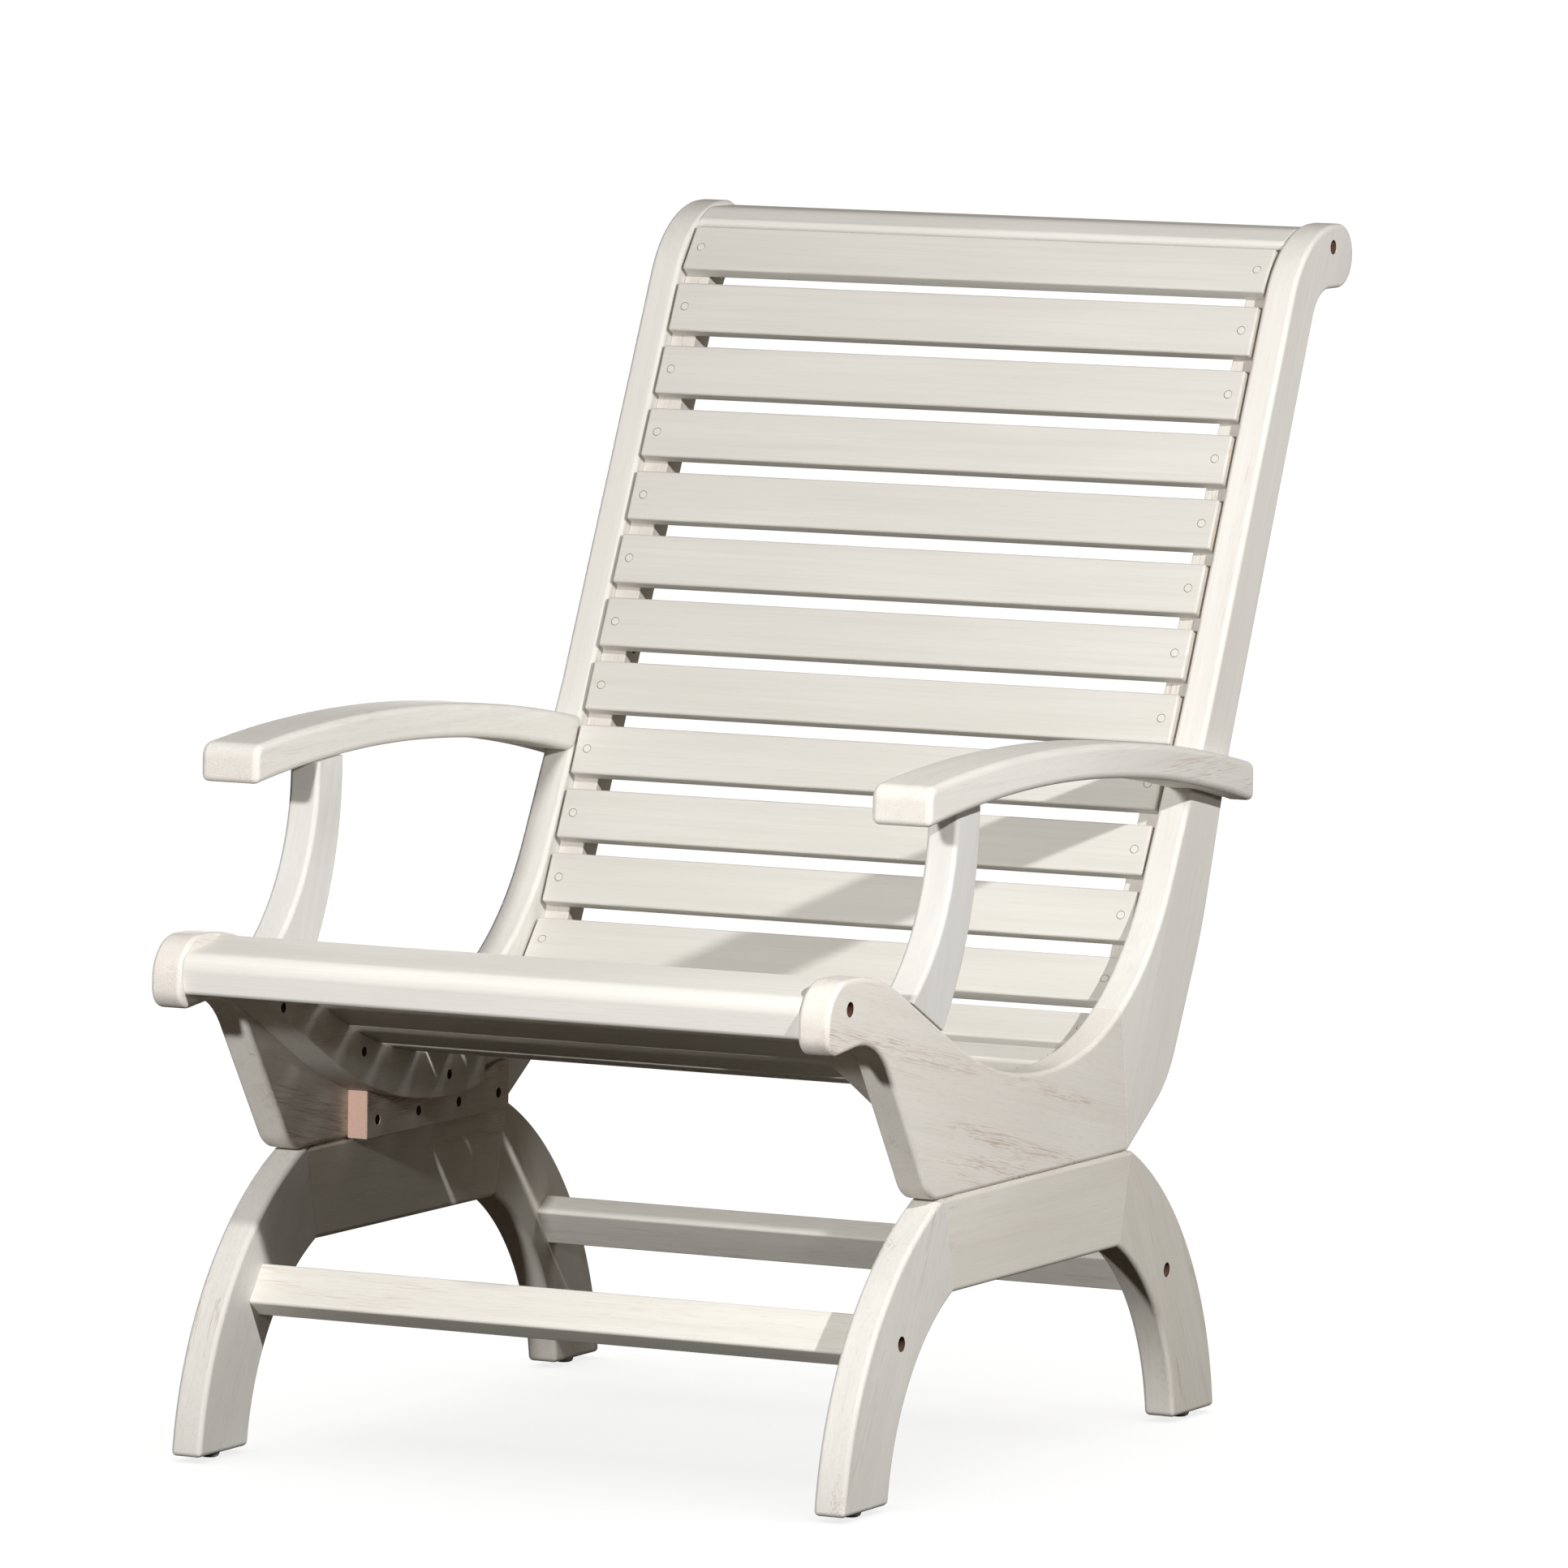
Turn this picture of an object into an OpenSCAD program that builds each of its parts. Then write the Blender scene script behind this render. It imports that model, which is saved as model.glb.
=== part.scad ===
// Adirondack chair in the plantation style: a slatted seat and back that run in one curve
// between two scrolled side frames, with arched arms, on a pair of arched bases.
// Frame: +X to the right as seen from the front, +Y to the rear, +Z up, origin on the
// floor under the middle of the whole chair. Left and right are as seen from the front.

/* [Frame] */
// Width over the two side frames
frame_w = 660; // [600:5:720]
// Thickness of the side boards, stiles, legs and beams
board_t = 30; // [26:1:34]

/* [Base] */
// Height of the top edge of the base above the floor
base_h = 259; // [245:1:275]
// Height of the beam between a front and a rear leg
beam_h = 84.5; // [76:0.5:92]
// Distance over the front and rear feet of one side
foot_span = 754; // [735:1:775]
// Length of each foot on the floor
foot_l = 87; // [80:1:92]
// Radius of the outer edge of a leg
leg_outer_r = 320; // [312:1:335]
// Radius of the inner edge of a leg
leg_inner_r = 215; // [205:1:225]
// Height of a stretcher's wide face
stretcher_h = 40; // [34:1:44]
// Thickness of a stretcher
stretcher_t = 24; // [20:1:28]
// Height of the stretcher bolts above the floor
stretcher_z = 142; // [136:1:148]

/* [Seat and back] */
// Width of a slat
slat_w = 48; // [42:1:52]
// Thickness of a slat
slat_t = 15; // [12:0.5:15.5]
// Distance from slat to slat along the seat
slat_pitch = 62.9; // [62:0.1:63.4]
// Lean of the back from upright, in degrees
back_rake = 24.9; // [24.5:0.1:25.3]
// Radius of the slat run where the back turns into the seat
corner_r = 165; // [160:1:170]
// Free space between a slat's end and the frame
slat_clearance = 2.5; // [1:0.5:4]
// Width of a back cleat
back_cleat_w = 25; // [20:1:30]
// Depth of a back cleat behind the slats
back_cleat_d = 28; // [24:1:30]
// Width of a seat cleat
seat_cleat_w = 36; // [32:1:42]
// Width of the front rail
front_rail_w = 75; // [70:1:76]
// Thickness of the front rail
front_rail_t = 36; // [32:1:38]

/* [Arms] */
// Width of an arm
arm_w = 58; // [50:1:66]
// Thickness of an arm
arm_t = 31.5; // [28:0.5:34]
// Radius of an arm's arch
arm_r = 2060; // [1900:10:2300]
// Height of the top of an arm's arch above the base
arm_rise = 379; // [374:1:384]

/* [Hardware] */
// Diameter of the counterbores over the bolts
bolt_head_bore = 13; // [12:0.5:15]
// Diameter of the bolts
bolt_d = 7; // [6:0.5:8]
// Diameter of the plugs over the slat screws
plug_d = 7.5; // [6:0.5:9]
// Diameter of the slat screws
screw_d = 4; // [3:0.5:5]
// Diameter of a glide
glide_d = 18; // [14:1:22]
// Height that a glide stands out of the foot
glide_h = 5; // [3:0.5:6]

/* [Hidden] */
side_x = frame_w/2 - board_t;           // inner face of a side frame
foot_out = foot_span/2;
foot_in = foot_out - foot_l;
mitre_top = [188.5, base_h];            // mitre between a leg and the beam, from base centre
mitre_low = [168, base_h - beam_h];
leg_shoulder = 5;                       // short flat on a leg's top, behind the mitre
stretcher_y = 270;
slat_l = 2*(side_x - slat_clearance);
back_slats = 12;
seat_slats = 9;
screw_inset = 15;
screw_x = side_x - screw_inset;                  // slat screws, from the middle
plug_l = 4;
plug_proud = 0.3;
arm_front = -285;
arm_rear = 382;
arm_peak_y = -47;
arm_nose_r = 14;
arm_under_r = 1812;                     // lower edge, so that the arm thickens to its ends
arm_under_y = -37;
wood = [0.87, 0.86, 0.82];
shade_wood = [0.83, 0.82, 0.78];
copper = [0.55, 0.33, 0.2];
steel = [0.75, 0.77, 0.8];
dowel_wood = [0.82, 0.7, 0.58];
round_fn = 32;
over = 1;                               // how far a cutter reaches past the face that it cuts
middle_x = side_x + board_t/2;          // middle of a side frame
outer_x = side_x + board_t;

// Corners of a whole side frame as [y, z above the base, rounding radius]:
// front scroll, underside, back edge, head scroll, front edge of the back, seat edge.
frame_corners = [
    [-419, 143, 18], [-322, 153, 70], [-217, 0, 34], [184, 0, 0], [268, 53, 110],
    [335, 182, 400], [388, 341, 300], [566, 751, 40], [641.5, 751, 29], [641.5, 810, 29],
    [537.7, 810, 105], [341, 377, 600], [205.5, 120, 265], [-49, 74, 388],
    [-321.5, 208.5, 190], [-419, 208.5, 38]
];
seam_top = [164, 140];
seam_low = [184, 0];
front_y = frame_corners[0][0];
rear_y = frame_corners[8][0];
centre_y = (front_y + rear_y)/2;

front_bolt = [-378, 183];               // through the middle of the front rail
crest_bolt = [596, 789];
crest_corners = [
    [549, 793, 5], [574, 805.5, 30], [630, 805.5, 13], [630, 770, 13], [566, 770, 8]
];

// The slat faces lie on one run. It is measured from the second slat, down the back.
run_start = [494, 716];
top_bend_r = 300;
back_run = 585;                         // straight length below the second slat
corner_end = 82;                        // lean of the run after the corner, then of the seat
seat_low_r = 700;
seat_low_end = 91;
seat_front_r = 480;
seat_front_end = 114;
cleat_arc_centre = [8, 483.5];          // lower edge of a seat cleat
cleat_arc_r = 456;
cleat_arc_end = 28;
seat_cleat_front = -332;
cleat_joint_y = 78;
cleat_gap = 8;                          // between the ends of a seat cleat and a back cleat
back_cleat_top = -80;                   // along the slat run
block_y = [-115, 154];
block_t = 20;
block_h = 45;
block_screw_y = [-95, -18, 58, 134];
block_screw_z = 16;
block_screw_bore = 8;                   // depth of the holes over the screws' heads
block_screw_l = 24;
cleat_screw_bore = 6;
seat_cleat_screw_l = 42;
back_cleat_screw_l = 32;
pilot_l = 14;
screw_head_d = 8;
screw_head_t = 2.2;
screw_head_bore = 9;
bolt_head_t = 5;
bolt_head_d = bolt_head_bore - 1;
bolt_socket_d = 5;
bolt_socket_l = 2.5;
bolt_end_gap = 2;                       // a bolt ends this far before its hole
counterbore_l = 10;
rail_bolt_in = 50;                      // how far the bolts reach into rails and stretchers
beam_bolt_bore = 12;
beam_bolt_in = 60;                      // how far the holes of the base bolts reach into a side board
arm_bolt_bore = 5;
arm_bolt_in = 20;

function arc_len(r, a0, a1) = r*(a1 - a0)*PI/180;
run_2 = back_run + arc_len(corner_r, back_rake, corner_end);
run_3 = run_2 + arc_len(seat_low_r, corner_end, seat_low_end);
run_4 = run_3 + arc_len(seat_front_r, seat_low_end, seat_front_end);

// Point after a bend of radius r that takes the lean from a0 to a.
function bend(p, r, a0, a) = [p[0] + r*(cos(a) - cos(a0)), p[1] - r*(sin(a) - sin(a0)), a];
function ahead(p, a, s) = [p[0] - s*sin(a), p[1] - s*cos(a), a];
corner_start = ahead(run_start, back_rake, back_run);
seat_start = bend(corner_start, corner_r, back_rake, corner_end);
seat_low = bend(seat_start, seat_low_r, corner_end, seat_low_end);
seat_front = bend(seat_low, seat_front_r, seat_low_end, seat_front_end);

// [y, z above the base, lean] of the slat faces at distance s along the run.
function run(s) =
    s < 0 ? bend(run_start, -top_bend_r, back_rake, back_rake - s/top_bend_r*180/PI) :
    s < back_run ? ahead(run_start, back_rake, s) :
    s < run_2 ? bend(corner_start, corner_r, back_rake,
                     back_rake + (s - back_run)/corner_r*180/PI) :
    s < run_3 ? bend(seat_start, seat_low_r, corner_end,
                     corner_end + (s - run_2)/seat_low_r*180/PI) :
    s < run_4 ? bend(seat_low, seat_front_r, seat_low_end,
                     seat_low_end + (s - run_3)/seat_front_r*180/PI) :
    ahead(seat_front, seat_front_end, s - run_4);
// The same, at depth d behind the faces.
function behind(s, d) = let (p = run(s)) [p[0] + d*cos(p[2]), p[1] - d*sin(p[2])];
function slat_s(i) = (i - 2)*slat_pitch;

function flat(p) = [p[0], p[1]];
function unit(v) = v/norm(v);
// Points of the arc of radius r that rounds the corner b between a and c.
function fillet(a, b, c, r) =
    let (u = unit(a - b), v = unit(c - b), half = acos(u*v)/2,
         m = b + unit(u + v)*r/sin(half),
         p = b + u*r/tan(half) - m, q = b + v*r/tan(half) - m,
         a0 = atan2(p[1], p[0]),
         turn = (atan2(q[1], q[0]) - a0 + 540) % 360 - 180,
         n = max(ceil(abs(turn)*r*PI/1800), ceil(abs(turn)/9)))
    [for (i = [0:n]) on_circle(m, r, a0 + turn*i/n)];
function rounded(c) =
    let (n = len(c))
    [for (i = [0:n - 1])
        each c[i][2] == 0 ? [flat(c[i])] :
            fillet(flat(c[(i + n - 1) % n]), flat(c[i]), flat(c[(i + 1) % n]), c[i][2])];
function lifted(pts, dz) = [for (p = pts) [p[0], p[1] + dz]];
// Centre of the circle of radius r through p (outer, low) and q (inner, high).
function centre_through(p, q, r) =
    let (m = (p + q)/2, h = norm(q - p)/2, d = unit(q - p))
    m + sqrt(r*r - h*h)*[-d[1], d[0]];
function on_circle(m, r, a) = m + r*[cos(a), sin(a)];
function arc(m, r, a0, a1, n) = [for (i = [0:n]) on_circle(m, r, a0 + (a1 - a0)*i/n)];
function angle_of(m, p) = atan2(p[1] - m[1], p[0] - m[0]);
function two_digits(i) = str(i < 10 ? "0" : "", i);
function above_base(p) = [p[0], p[1] + base_h];

// ---- placing ----

// Moves from the base's centre to the chair's origin.
module home() { translate([0, -centre_y, 0]) children(); }
// Outlines are drawn as [y, z] and given thickness t along X from x.
module along_x(x, t) {
    translate([x, 0, 0]) rotate([90, 0, 90]) linear_extrude(t) children();
}
// Left is -X and mirrors the right side.
module handed(side) {
    if (side < 0) mirror([1, 0, 0]) children();
    else children();
}
// A round bar along X, centred on [y, z].
module pin_x(p, d, x0, x1) {
    translate([x0, p[0], p[1]]) rotate([0, 90, 0]) cylinder(h = x1 - x0, d = d, $fn = round_fn);
}
// Stands the child, drawn with its axis along +Z from the face, at distance s on the slat run.
module on_run(s, x) {
    p = run(s);
    translate([x, p[0], p[1] + base_h]) rotate([-p[2], 0, 0]) rotate([-90, 0, 0]) children();
}

// ---- outlines as [y, z] ----

module frame_outline() { polygon(lifted(rounded(frame_corners), base_h)); }
// Everything on the sitter's side of the joint between a side board and its stile.
module ahead_of_seam() {
    front = front_y - 10;
    high = base_h + 2*frame_corners[14][1];
    polygon([[front, base_h - 10], [seam_low[0], base_h - 10], above_base(seam_low),
             above_base(seam_top), [seam_top[0], high], [front, high]]);
}
module arm_profile() {
    n = 32;
    outer = arc([arm_peak_y, base_h + arm_rise - arm_r], arm_r,
                acos((arm_front - arm_peak_y)/arm_r), acos((arm_rear - arm_peak_y)/arm_r), n);
    inner = arc([arm_under_y, base_h + arm_rise - arm_t - arm_under_r], arm_under_r,
                acos((arm_rear - arm_under_y)/arm_under_r),
                acos((arm_front - arm_under_y)/arm_under_r), n);
    nose = fillet(inner[n], outer[0], outer[2], arm_nose_r);
    polygon(concat(nose, [for (i = [2:n]) outer[i]], inner));
}
module leg_profile() {
    foot_a = [foot_out, glide_h];
    foot_b = [foot_in, glide_h];
    shoulder = mitre_top + [leg_shoulder, 0];
    outer = centre_through(foot_a, shoulder, leg_outer_r);
    inner = centre_through(foot_b, mitre_low, leg_inner_r);
    polygon(concat(
        arc(outer, leg_outer_r, angle_of(outer, foot_a), angle_of(outer, shoulder), 30),
        [mitre_top],
        arc(inner, leg_inner_r, angle_of(inner, mitre_low), angle_of(inner, foot_b), 26)));
}
// The edges of the back faces of slats i0 to i1, in order down the run.
function slat_backs(i0, i1) =
    [for (i = [i0:i1], d = [-1, 1])
        let (a = run(slat_s(i))[2])
        behind(slat_s(i), slat_t) - d*slat_w/2*[sin(a), cos(a)]];
module back_cleat_profile() {
    s1 = slat_s(back_slats + 3) + slat_w/2;
    n = ceil((s1 - back_cleat_top)/9);
    polygon(lifted(concat(
        [behind(back_cleat_top, slat_t)],
        slat_backs(1, back_slats + 3),
        [for (i = [n:-1:0]) behind(back_cleat_top + (s1 - back_cleat_top)*i/n,
                                   slat_t + back_cleat_d)]), base_h));
}
module below_cleats() {
    m = cleat_arc_centre + [0, base_h];
    tip = m + cleat_arc_r*[-sin(cleat_arc_end), -cos(cleat_arc_end)];
    far = 300;
    polygon(concat([[tip[0] - far, tip[1] + far*tan(cleat_arc_end)]],
                   arc(m, cleat_arc_r, 270 - cleat_arc_end, 270 + cleat_arc_end, 50),
                   [[m[0] + far, base_h - 60], [tip[0] - far, base_h - 60]]));
}

// ---- side frames ----

module seat_side(side) {
    color(wood) home() handed(side) difference() {
        along_x(side_x, board_t) intersection() {
            frame_outline();
            ahead_of_seam();
        }
        counterbore(above_base(front_bolt));
        for (y = base_bolt_y) translate([middle_x, y, base_h - over])
            cylinder(h = beam_bolt_in + over, d = bolt_d, $fn = round_fn);
        for (y = block_screw_y) pilot_hole([y, base_h + block_screw_z]);
        for (p = seat_cleat_screws) pilot_hole(p);
        for (t = seam_dowels_at) at_seam(t) dowel();
        dowel_pair(support_low);
    }
}

module back_stile(side) {
    color(wood) home() handed(side) difference() {
        along_x(side_x, board_t) difference() {
            frame_outline();
            ahead_of_seam();
        }
        counterbore(above_base(crest_bolt));
        for (p = back_cleat_screws) pilot_hole(p);
        for (p = arm_bolt_points) {
            pin_x(p, bolt_d, side_x - over, outer_x + over);
            pin_x(p, bolt_head_bore, side_x - over, side_x + arm_bolt_bore);
        }
        for (t = seam_dowels_at) at_seam(t) dowel();
    }
}

// A bolt hole from the outside, with its counterbore.
module counterbore(p) {
    pin_x(p, bolt_d, side_x - over, outer_x + over);
    pin_x(p, bolt_head_bore, outer_x - counterbore_l, outer_x + over);
}
// The hole for a screw that comes from inside, in a side board or stile.
module pilot_hole(p) { pin_x(p, screw_d, side_x - over, side_x + pilot_l); }
// The hole for a rail bolt, in both ends of a rail.
module rail_bores(p) {
    for (side = [-1, 1]) handed(side) pin_x(p, bolt_d, side_x - rail_bolt_in, side_x + over);
}

// ---- dowels ----

dowel_d = 10;
dowel_l = 50;
seam_dowels_at = [0.3, 0.75];           // as shares of the joint's height
mitre_dowels_at = [0.3, 0.7];
seam_dir = unit(seam_top - seam_low);
seam_tilt = atan2(seam_dir[0], seam_dir[1]);
// The child's Z axis crosses the seam at t of its height.
module at_seam(t) {
    p = seam_low + t*(seam_top - seam_low) + [0, base_h];
    translate([middle_x, p[0], p[1]]) rotate([90 - seam_tilt, 0, 0]) children();
}
module dowel() { cylinder(h = dowel_l, d = dowel_d, center = true, $fn = round_fn); }
module seam_dowels() {
    color(dowel_wood) home() for (side = [-1, 1]) handed(side)
        for (t = seam_dowels_at) at_seam(t) dowel();
}

mitre_dir = unit(mitre_top - mitre_low);
mitre_tilt = atan2(mitre_dir[0], mitre_dir[1]);
module at_mitre(t) {
    p = mitre_low + t*(mitre_top - mitre_low);
    translate([middle_x, p[0], p[1]]) rotate([90 - mitre_tilt, 0, 0]) children();
}
module mitre_bores() { for (t = mitre_dowels_at) at_mitre(t) dowel(); }
module mitre_dowels() {
    color(dowel_wood) home() for (side = [-1, 1]) handed(side)
        for (end = [0, 1]) mirror([0, end, 0]) mitre_bores();
}

// ---- base ----

module leg(side, rear) {
    color(wood) home() handed(side) mirror([0, rear ? 0 : 1, 0]) difference() {
        along_x(side_x, board_t) leg_profile();
        counterbore([stretcher_y, stretcher_z]);
        mitre_bores();
        translate([middle_x, (foot_out + foot_in)/2, glide_h - over])
            cylinder(h = glide_nail_l + over, d = glide_nail_d, $fn = round_fn);
    }
}
module front_leg(side) { leg(side, false); }
module rear_leg(side) { leg(side, true); }

base_bolt_y = [-85, 85];
module base_beam(side) {
    color(wood) home() handed(side) difference() {
        along_x(side_x, board_t)
            polygon([mitre_top, mitre_low, [-mitre_low[0], mitre_low[1]], [-mitre_top[0], mitre_top[1]]]);
        for (end = [0, 1]) mirror([0, end, 0]) mitre_bores();
        for (y = base_bolt_y) translate([middle_x, y, 0]) {
            cylinder(h = base_h + over, d = bolt_d, $fn = round_fn);
            cylinder(h = base_h - beam_h + beam_bolt_bore, d = bolt_head_bore, $fn = round_fn);
        }
    }
}

// Lean of the legs where the stretchers meet them.
stretcher_lean = 36;
module stretcher(rear) {
    color(shade_wood) home() mirror([0, rear ? 0 : 1, 0]) difference() {
        translate([-side_x, stretcher_y, stretcher_z]) rotate([stretcher_lean, 0, 0])
            translate([0, -stretcher_t/2, -stretcher_h/2]) cube([2*side_x, stretcher_t, stretcher_h]);
        rail_bores([stretcher_y, stretcher_z]);
    }
}
module front_stretcher() { stretcher(false); }
module rear_stretcher() { stretcher(true); }

glide_r = glide_d/2;
glide_nail_d = 3;
glide_nail_l = 16;
module glides() {
    color(steel) home() for (side = [-1, 1], end = [0, 1]) handed(side) mirror([0, end, 0])
        translate([middle_x, (foot_out + foot_in)/2, 0]) {
            rotate_extrude($fn = 48) polygon([[0, 0], [glide_r - 3, 0], [glide_r - 1, 1],
                                              [glide_r, 3], [glide_r, glide_h], [0, glide_h]]);
            translate([0, 0, glide_h - 0.5])
                cylinder(h = glide_nail_l, d = glide_nail_d, $fn = round_fn);
        }
}

// ---- rails ----

front_rail_tilt = 10;
front_rail_middle = front_bolt + [1, -1.5];
module front_rail() {
    w = front_rail_w/2;
    t = front_rail_t/2;
    color(wood) home() difference() {
        along_x(-side_x, 2*side_x)
            translate(above_base(front_rail_middle)) rotate(front_rail_tilt)
                polygon(rounded([[-w, -t, 5], [w, -t, 4], [w, t, 5], [-w, t, 15]]));
        rail_bores(above_base(front_bolt));
    }
}
module crest_rail() {
    color(wood) home() difference() {
        along_x(-side_x, 2*side_x) polygon(lifted(rounded(crest_corners), base_h));
        rail_bores(above_base(crest_bolt));
    }
}

// ---- arms ----

// Front edge of a stile where an arm butts against it.
stile_face = [above_base(frame_corners[12]), above_base(frame_corners[11])];
behind_stile = [300, 0];                // well past the arm's notch
arm_bolt_points = [[336, base_h + 327], [362, base_h + 323]];
// The dowels at a support's ends: middle, half their distance, lean and offset along it.
support_top = [[-150, base_h + 330], 11, 4, 8];
support_low = [[-208, base_h + 160], 17, -28, -8];
support_dowel_d = 8;
support_dowel_l = 38;
module support_blank() {
    front_edge = arc([-364, base_h + 336], 190, 0, -62, 24);
    rear_edge = arc([-435, base_h + 339], 308, -48, 0, 24);
    polygon(concat([[-174, base_h + 352]], front_edge, rear_edge, [[-127, base_h + 352]]));
}
module arm(side) {
    color(wood) home() handed(side) difference() {
        along_x(side_x, arm_w) arm_profile();
        along_x(side_x - over, board_t + over)
            polygon([stile_face[0], stile_face[0] + behind_stile, stile_face[1] + behind_stile,
                     stile_face[1]]);
        for (p = arm_bolt_points) pin_x(p, bolt_d, outer_x - over, outer_x + arm_bolt_in);
        dowel_pair(support_top);
    }
}
module arm_support(side) {
    color(wood) home() handed(side) difference() {
        along_x(side_x, board_t) difference() {
            support_blank();
            frame_outline();
            arm_profile();
        }
        dowel_pair(support_low);
        dowel_pair(support_top);
    }
}
module dowel_pair(end) {
    for (y = [-end[1], end[1]]) translate([middle_x, end[0][0] + y, end[0][1]]) rotate([end[2], 0, 0])
        translate([0, 0, end[3]])
            cylinder(h = support_dowel_l, d = support_dowel_d, center = true, $fn = round_fn);
}
module support_dowels() {
    color(dowel_wood) home() for (side = [-1, 1]) handed(side) {
        dowel_pair(support_low);
        dowel_pair(support_top);
    }
}

// ---- cleats and blocks ----

seat_cleat_screws = [[-298, base_h + 138], [-150, base_h + 84], [10, base_h + 47]];
back_cleat_screws = [for (s = [120, 330, 540]) above_base(behind(s, slat_t + back_cleat_d/2))];
module back_cleat(side) {
    color(shade_wood) home() handed(side) difference() {
        along_x(side_x - back_cleat_w, back_cleat_w) difference() {
            back_cleat_profile();
            translate([front_y, base_h]) square([cleat_joint_y + cleat_gap - front_y, 200]);
        }
        for (i = [1:back_slats + 2]) on_run(slat_s(i), screw_x) screw_bore();
        for (p = back_cleat_screws) screw_from_inside(p, side_x - back_cleat_w, cleat_screw_bore);
    }
}
module seat_cleat(side) {
    color(shade_wood) home() handed(side) difference() {
        along_x(side_x - seat_cleat_w, seat_cleat_w) difference() {
            translate([seat_cleat_front, base_h]) square([cleat_joint_y - seat_cleat_front, 220]);
            below_cleats();
            polygon(lifted(concat(slat_backs(back_slats + 1, back_slats + seat_slats),
                                  [[front_y, 400], [cleat_joint_y + 200, 400]]), base_h));
        }
        for (i = [back_slats + 3:back_slats + seat_slats]) on_run(slat_s(i), screw_x) screw_bore();
        for (p = seat_cleat_screws) screw_from_inside(p, side_x - seat_cleat_w, cleat_screw_bore);
    }
}
module mounting_block(side) {
    color(shade_wood) home() handed(side) difference() {
        along_x(side_x - block_t, block_t) intersection() {
            translate([block_y[0], base_h]) square([block_y[1] - block_y[0], block_h]);
            below_cleats();
        }
        for (y = block_screw_y)
            screw_from_inside([y, base_h + block_screw_z], side_x - block_t, block_screw_bore);
    }
}

// ---- slats ----

module slat(i) {
    color(wood) home() difference() {
        on_run(slat_s(i), -slat_l/2) rotate([90, 0, 0]) translate([0, 0, -slat_w/2])
            cube([slat_l, slat_t, slat_w]);
        for (side = [-1, 1]) on_run(slat_s(i), side*screw_x) {
            screw_bore();
            translate([0, 0, -over]) cylinder(h = plug_l + over, d = plug_d, $fn = round_fn);
        }
    }
}

// ---- screws, plugs and bolts ----

slat_screw_l = 26;
module screw_bore() {
    translate([0, 0, 0.5]) cylinder(h = plug_l + slat_screw_l - 0.5, d = screw_d, $fn = round_fn);
}
// A screw with its head's top at z = 0 and its shank along +Z.
module screw(l) {
    cylinder(h = screw_head_t, d1 = screw_head_d, d2 = screw_d, $fn = round_fn);
    cylinder(h = l, d = screw_d, $fn = round_fn);
}
module screw_from_inside(p, x, depth) {
    pin_x(p, screw_d, x - over, side_x + over);
    pin_x(p, screw_head_bore, x - over, x + depth);
}
module slat_screws() {
    color(copper) home() for (i = [1:back_slats + seat_slats], side = [-1, 1])
        on_run(slat_s(i), side*screw_x) translate([0, 0, plug_l])
            cylinder(h = slat_screw_l, d = screw_d, $fn = round_fn);
}
module slat_plugs() {
    color(wood) home() for (i = [1:back_slats + seat_slats], side = [-1, 1])
        on_run(slat_s(i), side*screw_x) translate([0, 0, -plug_proud])
            cylinder(h = plug_l + plug_proud, d = plug_d, $fn = round_fn);
}
// A bolt whose shank runs along +Z from under its socket head.
module bolt(l) {
    difference() {
        translate([0, 0, -bolt_head_t]) cylinder(h = bolt_head_t, d = bolt_head_d, $fn = round_fn);
        translate([0, 0, -bolt_head_t - over])
            cylinder(h = bolt_socket_l + over, d = bolt_socket_d, $fn = 6);
    }
    cylinder(h = l, d = bolt_d, $fn = round_fn);
}
module outside_bolt(p) {
    translate([outer_x - counterbore_l, p[0], p[1]]) rotate([0, -90, 0])
        bolt(board_t - counterbore_l + rail_bolt_in - bolt_end_gap);
}
module rail_bolts() {
    color(copper) home() for (side = [-1, 1]) handed(side) {
        outside_bolt(above_base(front_bolt));
        outside_bolt(above_base(crest_bolt));
    }
}
module stretcher_bolts() {
    color(copper) home() for (side = [-1, 1], end = [0, 1]) handed(side) mirror([0, end, 0])
        outside_bolt([stretcher_y, stretcher_z]);
}
module base_bolts() {
    color(copper) home() for (side = [-1, 1], y = base_bolt_y) handed(side)
        translate([middle_x, y, base_h - beam_h + beam_bolt_bore])
            bolt(beam_h - beam_bolt_bore + beam_bolt_in - bolt_end_gap);
}
module block_screws() {
    color(copper) home() for (side = [-1, 1], y = block_screw_y) handed(side)
        translate([side_x - block_t + block_screw_bore, y, base_h + block_screw_z])
            rotate([0, 90, 0]) screw(block_screw_l);
}
module cleat_screws() {
    color(copper) home() for (side = [-1, 1]) handed(side) {
        for (p = seat_cleat_screws)
            translate([side_x - seat_cleat_w + cleat_screw_bore, p[0], p[1]]) rotate([0, 90, 0])
                screw(seat_cleat_screw_l);
        for (p = back_cleat_screws)
            translate([side_x - back_cleat_w + cleat_screw_bore, p[0], p[1]]) rotate([0, 90, 0])
                screw(back_cleat_screw_l);
    }
}
module arm_screws() {
    color(copper) home() for (side = [-1, 1], p = arm_bolt_points) handed(side)
        translate([side_x + arm_bolt_bore, p[0], p[1]]) rotate([0, 90, 0])
            bolt(board_t - arm_bolt_bore + arm_bolt_in - bolt_end_gap);
}

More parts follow.
